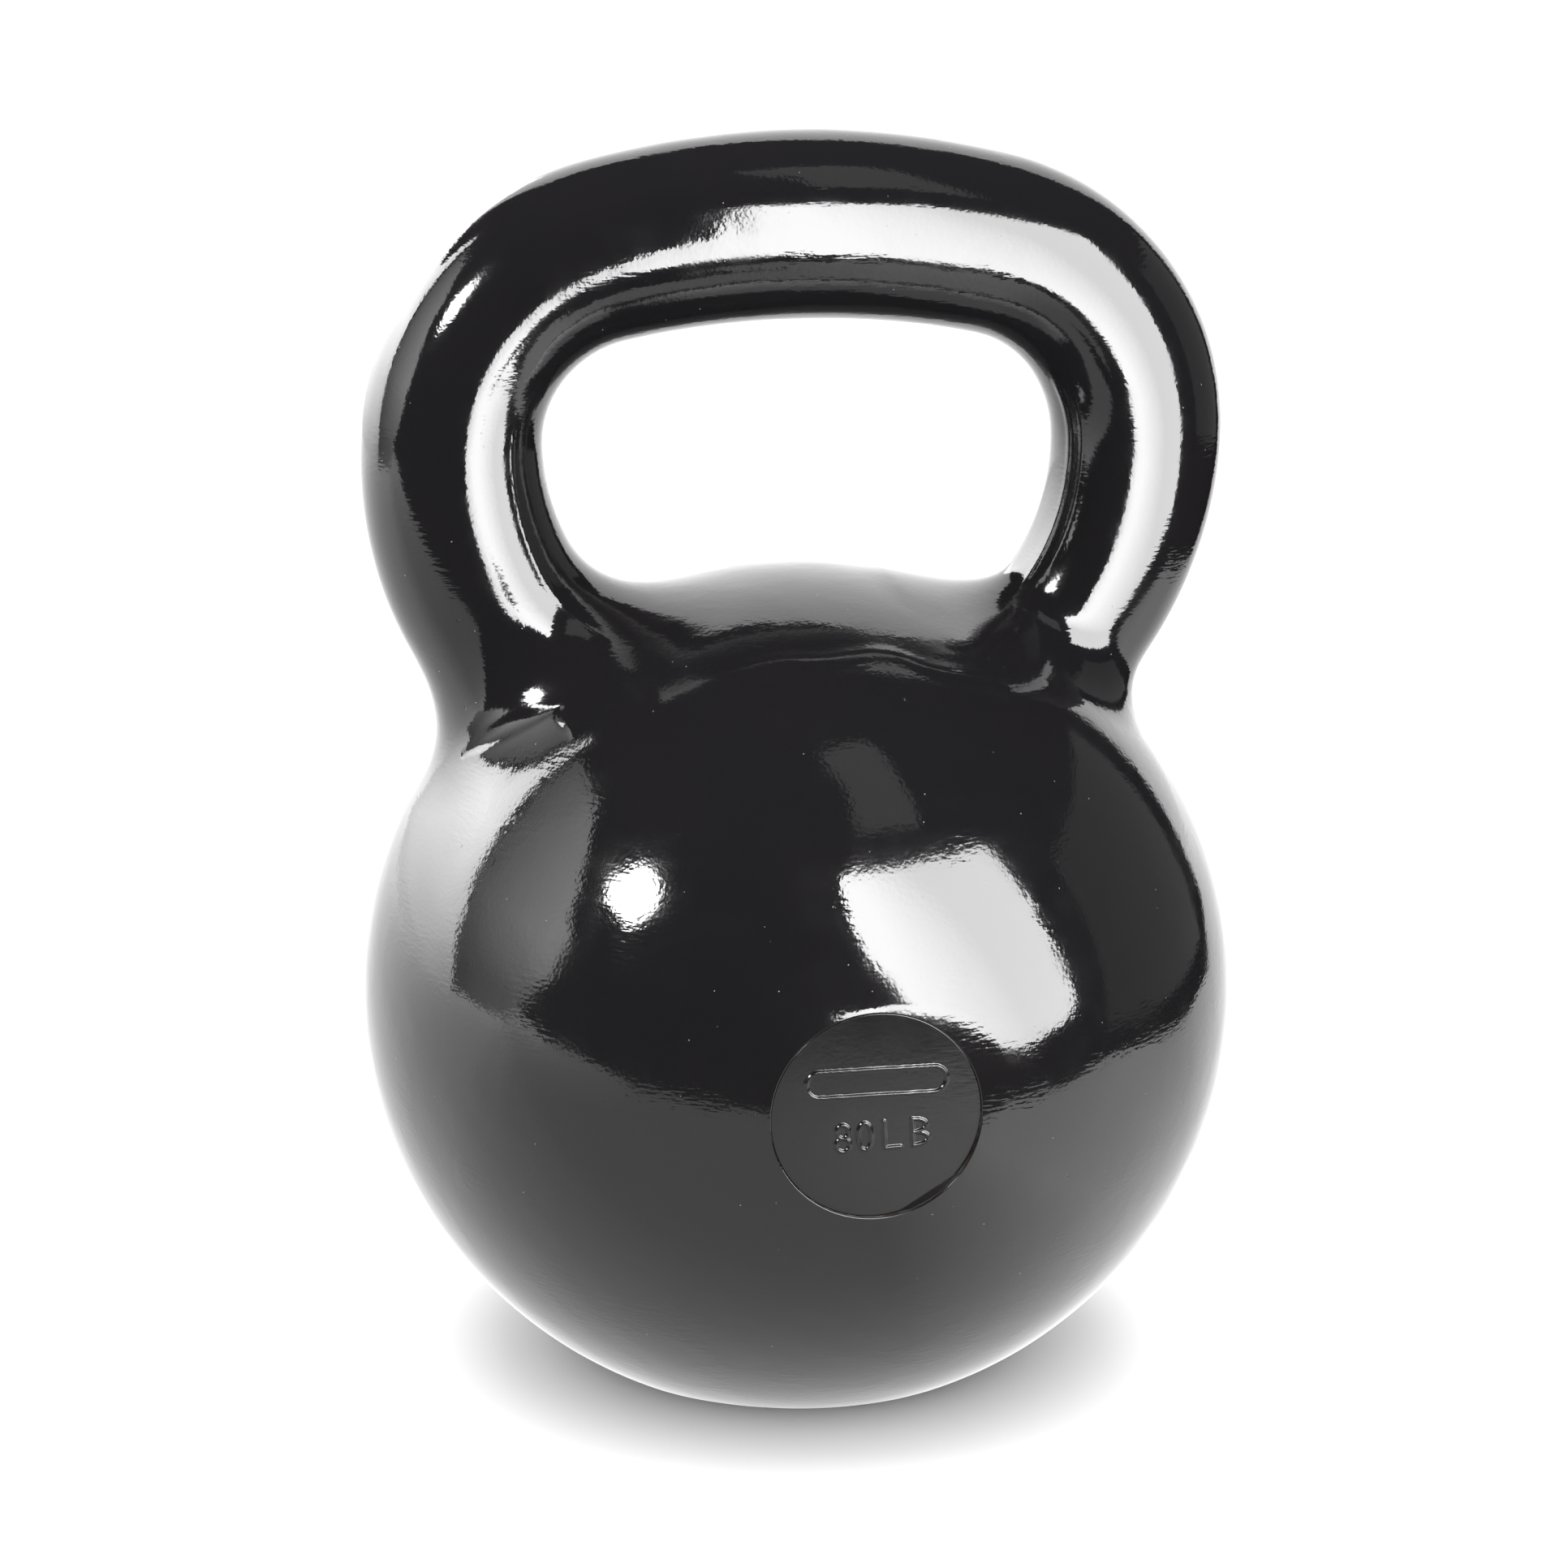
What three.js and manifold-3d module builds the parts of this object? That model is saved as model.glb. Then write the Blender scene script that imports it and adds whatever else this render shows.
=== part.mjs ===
import * as THREE from 'three';
import { mergeVertices } from 'three/addons/utils/BufferGeometryUtils.js';
import Module from 'manifold-3d';

// An 80 lb cast-iron kettlebell in black enamel. Millimetres, +Z up. The origin is the middle of the flat
// foot, the handle loop lies in the XZ plane, and the side with the weight mark faces -Y.
// Shapes are laid out over the enamel, and the iron underneath is the same shape made smaller by `grow`.

// ---- Driving dimensions ----
const BALL_RADIUS = 103.8;
const BALL_HALF_HEIGHT = 102.3;
const BALL_CENTRE_HEIGHT = 88.8;

// The loop's centreline, from the middle of the grip down either side to the ball.
const GRIP_CENTRE_HEIGHT = 271.9;
const GRIP_ARC = { radius: 198, turn: 13.2 };
const SHOULDER_ARC = { radius: 46.4, turn: 76.7 };
const HORN_ARC = { radius: 75.7, turn: 63.8 };

// The bar's radius at distances along that centreline. The left horn is stouter than the right one.
const BAR_STATIONS = [0, 83.5, 151.7, 193];
const LEFT_BAR_RADII = [21.8, 20.6, 22.4, 21.4];
const RIGHT_BAR_RADII = [21.8, 20.6, 19.5, 20.8];

// The weld round each horn's foot: the horn's radius there and the radius of the hollow fillet.
const HORN_LEAN = 36.6;
const LEFT_FILLET = { hornRadius: 22.2, radius: 19.6 };
const RIGHT_FILLET = { hornRadius: 20, radius: 17.5 };
const FILLET_BITE = 0.5;

// The tenon under each horn, and the blind socket in the ball that takes it.
const TENON_RADIUS = 12;
const TENON_DEPTH = 18;

const DISC_RADIUS = 23.3;
const DISC_THICKNESS = 4;
const DISC_CENTRE_HEIGHT = 89.7;
const DISC_FACE_DEPTH = 100.3;
const DISC_TILT = 1.3;
const DISC_EDGE = 0.5;

const ENAMEL_THICKNESS = 0.5;
const GAP = 0.3;
const ENAMEL_LIFT = 0.4;

// The raised weight mark on the disc: the height of its line, and where each character starts on it.
const MARK_HEIGHT = 6.8;
const MARK_STROKE = 1.1;
const MARK_RELIEF = 0.6;
const MARK_ROOT = 0.3;
const MARK_LINE = -4.6;
const MARK_TILT = 2;
const EIGHT_START = -9.6;
const NOUGHT_START = -4.7;
const L_START = 1.2;
const B_START = 7.5;
const FIGURE_WIDTH = 4;
const LETTER_WIDTH = 4.2;

// The plain rounded frame above the weight mark.
const FRAME_WIDTH = 32;
const FRAME_HEIGHT = 6.6;
const FRAME_LINE = 7.8;

// ---- Facet counts ----
const BALL_SIDES = 40;
const BALL_ROWS = 18;
const LEAST_ROW = 1;
const BAR_HALF_SIDES = 9;
const BAR_STEPS = 40;
const FILLET_SIDES = 24;
const FILLET_ROWS = 4;
const TENON_SIDES = 24;
const DISC_SIDES = 36;
const OVAL_SIDES = 12;
const FRAME_END_SIDES = 5;

// Points closer than this are one point.
const SAME_POINT = 1e-4;

const LEFT = -1;
const RIGHT = 1;
const rad = THREE.MathUtils.degToRad;
const lerp = THREE.MathUtils.lerp;

// ---- Solids: closed meshes joined and cut ----
const wasm = await Module();
wasm.setup();

function toSolid(geometry) {
  const bare = geometry.clone();
  bare.deleteAttribute('normal');
  bare.deleteAttribute('uv');
  const merged = mergeVertices(bare, SAME_POINT);
  return new wasm.Manifold(new wasm.Mesh({
    numProp: 3,
    vertProperties: new Float32Array(merged.attributes.position.array),
    triVerts: new Uint32Array(merged.index.array),
  }));
}

function toGeometry(solid) {
  const mesh = solid.getMesh();
  const geometry = new THREE.BufferGeometry();
  geometry.setAttribute('position', new THREE.BufferAttribute(mesh.vertProperties, 3));
  geometry.setIndex(new THREE.BufferAttribute(mesh.triVerts, 1));
  geometry.computeVertexNormals();
  return geometry;
}

function join(solids) {
  return solids.reduce((whole, solid) => whole.add(solid));
}

// ---- The ball: an ellipse turned about Z, cut flat at the foot ----
// Balls of every size share their rows' angles, so one skin lies evenly inside the next.
function ball(grow, footHeight) {
  const across = BALL_RADIUS + grow;
  const upward = BALL_HALF_HEIGHT + grow;
  const footAngle = -Math.asin(BALL_CENTRE_HEIGHT / BALL_HALF_HEIGHT);
  const footRadius = across * Math.sqrt(1 - ((footHeight - BALL_CENTRE_HEIGHT) / upward) ** 2);
  const profile = [new THREE.Vector2(0, footHeight), new THREE.Vector2(footRadius, footHeight)];
  for (let row = 0; row < BALL_ROWS; row += 1) {
    const angle = lerp(footAngle, Math.PI / 2, row / BALL_ROWS);
    const height = BALL_CENTRE_HEIGHT + upward * Math.sin(angle);
    if (height > footHeight + LEAST_ROW) {
      profile.push(new THREE.Vector2(across * Math.cos(angle), height));
    }
  }
  profile.push(new THREE.Vector2(0, BALL_CENTRE_HEIGHT + upward));
  return toSolid(new THREE.LatheGeometry(profile, BALL_SIDES).rotateX(Math.PI / 2));
}

// ---- The handle loop: a round bar swept along three arcs on each side ----
class LoopCurve extends THREE.Curve {
  constructor() {
    super();
    this.arcs = [GRIP_ARC, SHOULDER_ARC, HORN_ARC].map((arc) => ({
      radius: arc.radius,
      length: arc.radius * rad(arc.turn),
    }));
    this.halfLength = this.arcs.reduce((sum, arc) => sum + arc.length, 0);
  }

  // The point and heading at a distance from the middle of the grip, on the right-hand side.
  station(distance) {
    let left = distance;
    let heading = 0;
    let x = 0;
    let z = GRIP_CENTRE_HEIGHT;
    for (const { radius, length } of this.arcs) {
      const next = heading + Math.min(left, length) / radius;
      x += radius * (Math.sin(next) - Math.sin(heading));
      z += radius * (Math.cos(next) - Math.cos(heading));
      heading = next;
      left = Math.max(left - length, 0);
    }
    return { x, z, heading };
  }

  getPoint(t, target = new THREE.Vector3()) {
    const distance = (2 * t - 1) * this.halfLength;
    const { x, z } = this.station(Math.abs(distance));
    return target.set(Math.sign(distance) * x, 0, z);
  }
}

const loop = new LoopCurve();

function barRadius(distance) {
  const radii = distance < 0 ? LEFT_BAR_RADII : RIGHT_BAR_RADII;
  const along = Math.abs(distance);
  const next = BAR_STATIONS.findIndex((station, i) => i > 0 && along <= station);
  const last = next - 1;
  const share = (along - BAR_STATIONS[last]) / (BAR_STATIONS[next] - BAR_STATIONS[last]);
  return lerp(radii[last], radii[next], share);
}

// A bar of radius 1 is swept first, and each ring of it is then swelled about its own centre.
function bar(grow) {
  const section = new THREE.Shape().absarc(0, 0, 1, 0, 2 * Math.PI, false);
  const geometry = new THREE.ExtrudeGeometry(section, {
    steps: BAR_STEPS,
    curveSegments: BAR_HALF_SIDES,
    bevelEnabled: false,
    extrudePath: loop,
  });
  const centres = loop.getSpacedPoints(BAR_STEPS);
  const position = geometry.attributes.position;
  const point = new THREE.Vector3();
  for (let i = 0; i < position.count; i += 1) {
    point.fromBufferAttribute(position, i);
    const gaps = centres.map((centre) => centre.distanceTo(point));
    const step = gaps.indexOf(Math.min(...gaps));
    const distance = (2 * step / BAR_STEPS - 1) * loop.halfLength;
    point.sub(centres[step]).multiplyScalar(barRadius(distance) + grow).add(centres[step]);
    position.setXYZ(i, point.x, point.y, point.z);
  }
  return toSolid(geometry);
}

// ---- The weld fillets: rings turned about a line from the ball's centre out through each horn ----
function fillet(side, grow) {
  const { hornRadius, radius } = side === LEFT ? LEFT_FILLET : RIGHT_FILLET;
  const arcRadius = radius - grow + FILLET_BITE;
  const centre = new THREE.Vector2(hornRadius + radius, 0);
  centre.y = Math.sqrt((BALL_RADIUS + radius) ** 2 - centre.x ** 2);
  const towardBall = Math.atan2(-centre.y, -centre.x);
  const towardHorn = -Math.PI - Math.asin(grow / arcRadius);
  const profile = [new THREE.Vector2(0, BALL_RADIUS - 2 * radius)];
  for (let row = 0; row <= FILLET_ROWS; row += 1) {
    const angle = lerp(towardBall, towardHorn, row / FILLET_ROWS);
    const reach = new THREE.Vector2(Math.cos(angle), Math.sin(angle)).multiplyScalar(arcRadius);
    profile.push(centre.clone().add(reach));
  }
  profile.push(new THREE.Vector2(0, centre.y + grow));
  const geometry = new THREE.LatheGeometry(profile, FILLET_SIDES).rotateX(Math.PI / 2);
  geometry.rotateY(side * rad(HORN_LEAN));
  geometry.scale(1, 1, BALL_HALF_HEIGHT / BALL_RADIUS);
  geometry.translate(0, 0, BALL_CENTRE_HEIGHT);
  return toSolid(geometry);
}

// ---- The tenons: round pegs that carry on from the foot of each horn ----
function tenon(side, grow) {
  const length = 2 * (TENON_DEPTH + grow);
  const radius = TENON_RADIUS + grow;
  const geometry = new THREE.CylinderGeometry(radius, radius, length, TENON_SIDES);
  geometry.rotateX(Math.PI / 2);
  geometry.translate(0, 0, BALL_RADIUS);
  geometry.rotateY(side * rad(HORN_LEAN));
  geometry.translate(0, 0, BALL_CENTRE_HEIGHT);
  return toSolid(geometry);
}

// ---- The marking disc: drawn facing +Z, then stood up on the ball's front ----
function ontoBall(geometry) {
  const tiltAxis = new THREE.Vector3(1, 1, 0).normalize();
  geometry.applyMatrix4(new THREE.Matrix4().makeRotationAxis(tiltAxis, rad(DISC_TILT)));
  geometry.translate(0, 0, DISC_FACE_DEPTH);
  geometry.rotateX(Math.PI / 2);
  geometry.translate(0, 0, DISC_CENTRE_HEIGHT);
  return toSolid(geometry);
}

function discBlank(grow, proud) {
  const radius = DISC_RADIUS + grow;
  const profile = [
    new THREE.Vector2(0, -DISC_THICKNESS - grow),
    new THREE.Vector2(radius, -DISC_THICKNESS - grow),
    new THREE.Vector2(radius, proud - DISC_EDGE),
    new THREE.Vector2(radius - DISC_EDGE, proud),
    new THREE.Vector2(0, proud),
  ];
  return ontoBall(new THREE.LatheGeometry(profile, DISC_SIDES).rotateX(Math.PI / 2));
}

function ovalPoints(x, y, width, height) {
  const points = [];
  for (let i = 0; i < OVAL_SIDES; i += 1) {
    const angle = 2 * Math.PI * i / OVAL_SIDES;
    points.push(new THREE.Vector2(x + width / 2 * Math.cos(angle), y + height / 2 * Math.sin(angle)));
  }
  return points;
}

function ovalRing(x, y, width, height) {
  const ring = new THREE.Shape(ovalPoints(x, y, width, height));
  const inside = ovalPoints(x, y, width - 2 * MARK_STROKE, height - 2 * MARK_STROKE);
  ring.holes.push(new THREE.Path(inside.reverse()));
  return ring;
}

function box(left, bottom, right, top) {
  const corners = [[left, bottom], [right, bottom], [right, top], [left, top]];
  return new THREE.Shape(corners.map(([x, y]) => new THREE.Vector2(x, y)));
}

// A stadium: a straight-sided frame with round ends.
function stadium(Kind, y, width, height) {
  const reach = (width - height) / 2;
  const outline = new Kind();
  outline.absarc(reach, y, height / 2, -Math.PI / 2, Math.PI / 2, false);
  outline.absarc(-reach, y, height / 2, Math.PI / 2, 3 * Math.PI / 2, false);
  outline.closePath();
  return outline;
}

function plainFrame() {
  const frame = stadium(THREE.Shape, FRAME_LINE, FRAME_WIDTH, FRAME_HEIGHT);
  const innerWidth = FRAME_WIDTH - 2 * MARK_STROKE;
  const innerHeight = FRAME_HEIGHT - 2 * MARK_STROKE;
  const inner = stadium(THREE.Path, FRAME_LINE, innerWidth, innerHeight);
  frame.holes.push(inner);
  return frame;
}

// The figures 8 and 0 and the letters L and B, as strokes centred on the mark's line.
function weightMark() {
  const half = MARK_HEIGHT / 2;
  const bowl = half + MARK_STROKE / 2;
  const upper = MARK_LINE + half - bowl / 2;
  const lower = MARK_LINE - half + bowl / 2;
  const foot = MARK_LINE - half;
  const head = MARK_LINE + half;
  const eight = EIGHT_START + FIGURE_WIDTH / 2;
  const nought = NOUGHT_START + FIGURE_WIDTH / 2;
  const bowls = B_START + LETTER_WIDTH / 2;
  return [
    ovalRing(eight, upper, FIGURE_WIDTH - MARK_STROKE / 2, bowl),
    ovalRing(eight, lower, FIGURE_WIDTH, bowl),
    ovalRing(nought, MARK_LINE, FIGURE_WIDTH, MARK_HEIGHT),
    box(L_START, foot, L_START + MARK_STROKE, head),
    box(L_START, foot, L_START + LETTER_WIDTH, foot + MARK_STROKE),
    box(B_START, foot, B_START + MARK_STROKE, head),
    ovalRing(bowls, upper, LETTER_WIDTH - MARK_STROKE / 2, bowl),
    ovalRing(bowls, lower, LETTER_WIDTH, bowl),
  ];
}

function raised(shape, turn) {
  const relief = new THREE.ExtrudeGeometry(shape, {
    depth: MARK_RELIEF + MARK_ROOT,
    bevelEnabled: false,
    curveSegments: FRAME_END_SIDES,
  });
  relief.translate(0, 0, -MARK_ROOT);
  relief.rotateZ(rad(turn));
  return ontoBall(relief);
}

function markingDisc() {
  const relief = [raised(plainFrame(), 0), ...weightMark().map((shape) => raised(shape, MARK_TILT))];
  return join([discBlank(0, 0), ...relief]);
}

// ---- The pieces ----
const ironGrow = -ENAMEL_THICKNESS - GAP;
const clearGrow = -ENAMEL_THICKNESS;
const belowFloor = -5;
const pastSurface = 10;

function ballCasting() {
  const sockets = join([tenon(LEFT, GAP), tenon(RIGHT, GAP)]);
  return ball(ironGrow, 0).subtract(sockets).subtract(discBlank(GAP, pastSurface));
}

function handleCasting() {
  const saddled = bar(ironGrow).subtract(ball(clearGrow, 0));
  return join([saddled, tenon(LEFT, 0), tenon(RIGHT, 0)]);
}

function hornWeld(side) {
  return fillet(side, ironGrow).subtract(ball(clearGrow, belowFloor)).subtract(bar(clearGrow));
}

function enamelCoat() {
  const outside = join([ball(0, ENAMEL_LIFT), bar(0), fillet(LEFT, 0), fillet(RIGHT, 0)]);
  const inside = join([
    ball(clearGrow, belowFloor),
    bar(clearGrow),
    fillet(LEFT, clearGrow),
    fillet(RIGHT, clearGrow),
  ]);
  return outside.subtract(inside).subtract(discBlank(GAP, pastSurface));
}

// ---- Finishes ----
const castIron = { color: 0x3b3a3a, roughness: 0.75, metalness: 0.6 };
const weldMetal = { color: 0x55524f, roughness: 0.55, metalness: 0.8 };
const blackEnamel = { color: 0x0e0e10, roughness: 0.12, metalness: 0 };

function piece(name, solid, finish) {
  const mesh = new THREE.Mesh(toGeometry(solid), new THREE.MeshStandardMaterial(finish));
  mesh.name = name;
  return mesh;
}

const kettlebell = new THREE.Group();
kettlebell.add(
  piece('ball_casting', ballCasting(), castIron),
  piece('handle_casting', handleCasting(), castIron),
  piece('left_horn_weld', hornWeld(LEFT), weldMetal),
  piece('right_horn_weld', hornWeld(RIGHT), weldMetal),
  piece('marking_disc', markingDisc(), blackEnamel),
  piece('enamel_coat', enamelCoat(), blackEnamel),
);

export default kettlebell;
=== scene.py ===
import math

import bpy
import numpy as np
from mathutils import Matrix, Vector


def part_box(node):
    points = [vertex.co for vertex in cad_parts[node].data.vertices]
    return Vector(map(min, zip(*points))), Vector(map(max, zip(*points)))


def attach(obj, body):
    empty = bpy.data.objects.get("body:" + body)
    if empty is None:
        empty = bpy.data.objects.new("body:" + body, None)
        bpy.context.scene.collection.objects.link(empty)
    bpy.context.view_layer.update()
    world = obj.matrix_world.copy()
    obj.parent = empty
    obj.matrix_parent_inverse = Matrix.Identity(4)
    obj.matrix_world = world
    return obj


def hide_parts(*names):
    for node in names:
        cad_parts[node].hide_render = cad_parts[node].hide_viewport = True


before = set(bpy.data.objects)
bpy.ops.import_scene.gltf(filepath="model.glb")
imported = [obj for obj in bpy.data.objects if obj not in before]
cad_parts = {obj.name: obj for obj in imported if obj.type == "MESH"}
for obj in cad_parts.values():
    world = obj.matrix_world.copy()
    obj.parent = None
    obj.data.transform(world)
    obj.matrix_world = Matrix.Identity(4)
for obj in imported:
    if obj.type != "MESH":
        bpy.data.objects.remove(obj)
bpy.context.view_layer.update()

# An 80 lb cast-iron kettlebell in black enamel. The enamel's outer face is one smooth field, a ball run
# together with a bent bar, which is meshed here and made into a thin shell over the iron of the CAD model.
# The surface is worked out in millimetres and made in metres. +Z is up and the weight mark faces -Y.

MM = 0.001
LEFT = -1
RIGHT = 1

coat_low, coat_high = (np.array(corner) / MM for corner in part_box("enamel_coat"))
disc_low, disc_high = (np.array(corner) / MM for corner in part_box("marking_disc"))

# ---- Driving dimensions, in millimetres ----
BALL_RADIUS = 103.8
BALL_SQUASH = 0.985
BALL_CENTRE_HEIGHT = 88.8

# The loop's centreline, from the middle of the grip down either side: each arc's radius and turn in degrees.
GRIP_CENTRE_HEIGHT = 271.9
LOOP_ARCS = ((198.0, 13.2), (46.4, 76.7), (75.7, 63.8))

# The bar's radius at distances along that centreline, and how softly each horn runs into the ball. The left
# horn is stouter and blends in softly. The right one is slimmer and flares at its foot.
GRIP_RADIUS = 21.8
BAR_STATIONS = (0.0, 83.5, 151.7, 197.0)
BAR_RADII = {LEFT: (GRIP_RADIUS, 20.6, 22.4, 21.3), RIGHT: (GRIP_RADIUS, 20.6, 19.5, 33.9)}
FOOT_BLEND = {LEFT: 22.96, RIGHT: 11.12}
SIDE_FADE = 6.0

# How far each nudge goes when a slope is measured.
SLOPE_STEP = 0.05

ENAMEL_THICKNESS = 0.5
FOOT_HEIGHT = coat_low[2] + ENAMEL_THICKNESS / 2

# The marking disc lies in a round window in the enamel.
DISC_RADIUS = 23.3
DISC_SEAM = 0.06
DISC_THICKNESS = 4.0
DISC_CENTRE_HEIGHT = (disc_low[2] + disc_high[2]) / 2
DISC_FACE_DEPTH = 100.3
DISC_TILT = math.radians(1.3)
DISC_EDGE = 0.2
WINDOW_RADIUS = DISC_RADIUS + 0.3

# The enamel falls toward the window, most of all at this bearing on the disc.
SHOULDER_BEARING = math.radians(28)
SHOULDER_SHARPNESS = 8
SHOULDER_FALL = 0.02
SHOULDER_EXTRA_FALL = 0.43
SHOULDER_WIDTH = 1.0
SHOULDER_EXTRA_WIDTH = 6.5
SHOULDER_CURVE = 1.3

# Enamel that ran against the window's lower right side and set as a slope on the disc.
FILL_BEARING = math.radians(-58)
FILL_CHORD = 22.1
FILL_SLOPE = 0.6

# The raised weight mark: the height of its line, and the middle of each character on it.
MARK_HEIGHT = 6.8
MARK_LINE = -4.6
MARK_TILT = math.radians(2)
MARK_RELIEF = 0.42
MARK_HALF_STROKE = 0.62
MARK_FLAT = 0.1
EIGHT_MIDDLE = -7.6
NOUGHT_MIDDLE = -2.7
L_START = 1.7
B_START = 8.0
FIGURE_WIDTH = 3.0
LETTER_WIDTH = 3.5
BOWL_STEP = 0.4

# The plain rounded frame above the weight mark.
FRAME_WIDTH = 32.0
FRAME_HEIGHT = 6.6
FRAME_LINE = 7.8

# Thin raised seam lines down the window side of the horns: the side, the angle in degrees round the bar from
# its front, where the line starts and ends along the loop, its height and its half-width.
SEAM_LINES = (
    (LEFT, 35, 92, 168, 0.08, 0.55),
    (RIGHT, 52, 90, 150, 0.1, 0.8),
    (RIGHT, 64, 80, 158, 0.3, 0.9),
)
SEAM_FADE = 8

# At the left horn's foot: a soft groove, and a long drop of enamel beside its end. Each runs between two
# points on the skin, which faces the azimuth and elevation given in degrees.
GROOVE_ENDS = ((-81.5, -19, 154), (-61, -33.4, 167.8))
GROOVE_FACING = (-49, 27)
GROOVE_HALF_WIDTH = 3.6
GROOVE_DEPTH = 0.32
GROOVE_BLUNTNESS = 0.05
DROP_ENDS = ((-60.8, -35.5, 166), (-58, -42, 163.2))
DROP_FACING = (-46, 42)
DROP_HALF_WIDTH = 1.4
DROP_HEIGHT = 0.65
DROP_REACH = 2.5

# The faint edge of the flatter land on top of the ball: it runs from the left in slow waves and curls back.
RIDGE_DEPTH = 46.0
RIDGE_HEIGHT = 0.26
RIDGE_HALF_WIDTH = 2.4
RIDGE_START = -44
RIDGE_RISE_LENGTH = 45
RIDGE_FALL = (50, 56)
RIDGE_LOWEST = 150
RIDGE_WAVE = 1.3
RIDGE_WAVE_RAMP = 60
RIDGE_WAVE_START = 18
RIDGE_WAVE_LENGTH = 28
CURL_START = 41
CURL_LENGTH = 13
CURL_RISE = 17
CURL_WIDENING = 1.3

# The unevenness of the sand casting, a few hundredths of a millimetre high. The slow waves have a length and
# a start along each axis. The quick ones run slantwise, one set across X and Z and one across Y and Z.
SLOW_WAVE = 0.05
SLOW_LENGTHS = (8.3, 9.1, 7.7)
SLOW_STARTS = (1.1, 0.4, 2.0)
QUICK_WAVE = 0.012
QUICK_LENGTHS = ((3.1, 4.3), (3.7, 5.9))

# ---- Mesh fineness ----
GRID_STEP = 2.75
SETTLE_ROUNDS = 12
DETAIL_LEVELS = 2
LINE_REACH = 3
GROOVE_MARGIN = 1.2
WINDOW_SNAP = 0.15
FOOT_SNAP = 0.6
CUT_ROUNDS = 3
RIM_ROUNDING_STEPS = 4
DISC_GRID = 210
DISC_EDGE_STEPS = 3


# ---- The enamel's outer face, as a signed distance: negative inside ----
def by_side(pair, right):
    """A value that passes from the left half's to the right half's; `right` runs from 0 to 1."""
    return pair[LEFT] + (pair[RIGHT] - pair[LEFT]) * right


def smooth_step(value, start, end):
    share = np.clip((value - start) / (end - start), 0, 1)
    return share * share * (3 - 2 * share)


def nearest_on_loop(x, z):
    """The gap to one half of the loop's centreline, the distance along it, and how far outside it lies."""
    best = np.full(x.shape, np.inf)
    along = np.zeros(x.shape)
    outside = np.zeros(x.shape)
    heading, start, start_x, start_z = 0.0, 0.0, 0.0, GRIP_CENTRE_HEIGHT
    for radius, degrees in LOOP_ARCS:
        half_turn = math.radians(degrees) / 2
        centre_x = start_x - radius * math.sin(heading)
        centre_z = start_z - radius * math.cos(heading)
        middle = heading + half_turn
        bearing = np.arctan2(x - centre_x, z - centre_z) - middle
        swing = np.clip((bearing + math.pi) % (2 * math.pi) - math.pi, -half_turn, half_turn)
        point_x = centre_x + radius * np.sin(middle + swing)
        point_z = centre_z + radius * np.cos(middle + swing)
        gap = np.hypot(x - point_x, z - point_z)
        nearer = gap < best
        best = np.where(nearer, gap, best)
        along = np.where(nearer, start + radius * (half_turn + swing), along)
        outside = np.where(nearer, np.hypot(x - centre_x, z - centre_z) - radius, outside)
        heading += 2 * half_turn
        start += 2 * half_turn * radius
        start_x = centre_x + radius * math.sin(heading)
        start_z = centre_z + radius * math.cos(heading)
    return best, along, outside


def bar_radius(along, radii):
    total = np.full(along.shape, radii[0])
    for i in range(len(radii) - 1):
        total += (radii[i + 1] - radii[i]) * smooth_step(along, BAR_STATIONS[i], BAR_STATIONS[i + 1])
    return total


def horn_angle(y, outside):
    """The angle round the bar, from the front toward the handle's window."""
    return np.arctan2(-outside, -y)


# ---- Fine details: each gives how far it raises the face, and where a finer mesh is needed ----
def seam_ridge(place, side, degrees, first, last, height, half_width):
    """A thin raised line that runs down the window side of a horn."""
    x, y, _, along, outside, radius = place
    across = (horn_angle(y, outside) - math.radians(degrees)) * radius
    ends = smooth_step(along, first, first + SEAM_FADE) * (1 - smooth_step(along, last - SEAM_FADE, last))
    here = (np.sign(x) == side) * ends
    lift = height * here * np.exp(-((across / half_width) ** 2))
    return lift, (here > 0) & (np.abs(across) < LINE_REACH * half_width)


def direction(azimuth, elevation):
    """A unit vector: azimuth from -Y toward +X, both angles in degrees."""
    a, e = math.radians(azimuth), math.radians(elevation)
    return np.array((math.sin(a) * math.cos(e), -math.cos(a) * math.cos(e), math.sin(e)))


def along_line(place, ends, facing):
    """The gap beside a line on the skin, and the share of the line before each point. Depth is left out."""
    start, end = np.array(ends)
    point = np.stack(place[:3], axis=-1) - start
    outward = direction(*facing)
    run = end - start
    run = run - (run @ outward) * outward
    length = np.linalg.norm(run)
    share = point @ run / length**2
    beyond = np.clip(np.abs(share - 0.5) - 0.5, 0, None) * length
    gap = np.hypot(point @ np.cross(outward, run / length), beyond)
    return np.where(np.abs(point @ outward) < length / 2, gap, length), np.clip(share, 0, 1)


def foot_groove(place):
    """The soft lens-shaped groove left between the left horn's foot and the ball."""
    gap, share = along_line(place, GROOVE_ENDS, GROOVE_FACING)
    taper = np.sqrt(np.sin(math.pi * np.clip(share, GROOVE_BLUNTNESS, 1 - GROOVE_BLUNTNESS)))
    hollow = (1 + np.cos(math.pi * np.clip(gap / (GROOVE_HALF_WIDTH * taper), 0, 1))) / 2
    return -GROOVE_DEPTH * hollow * taper, gap < GROOVE_HALF_WIDTH + GROOVE_MARGIN


def enamel_drop(place):
    """The long raised drop of enamel beside the groove's end."""
    gap, share = along_line(place, DROP_ENDS, DROP_FACING)
    rise = np.sin(math.pi * share)
    return DROP_HEIGHT * rise * np.exp(-((gap / DROP_HALF_WIDTH) ** 2)), gap < DROP_REACH * DROP_HALF_WIDTH


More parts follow.
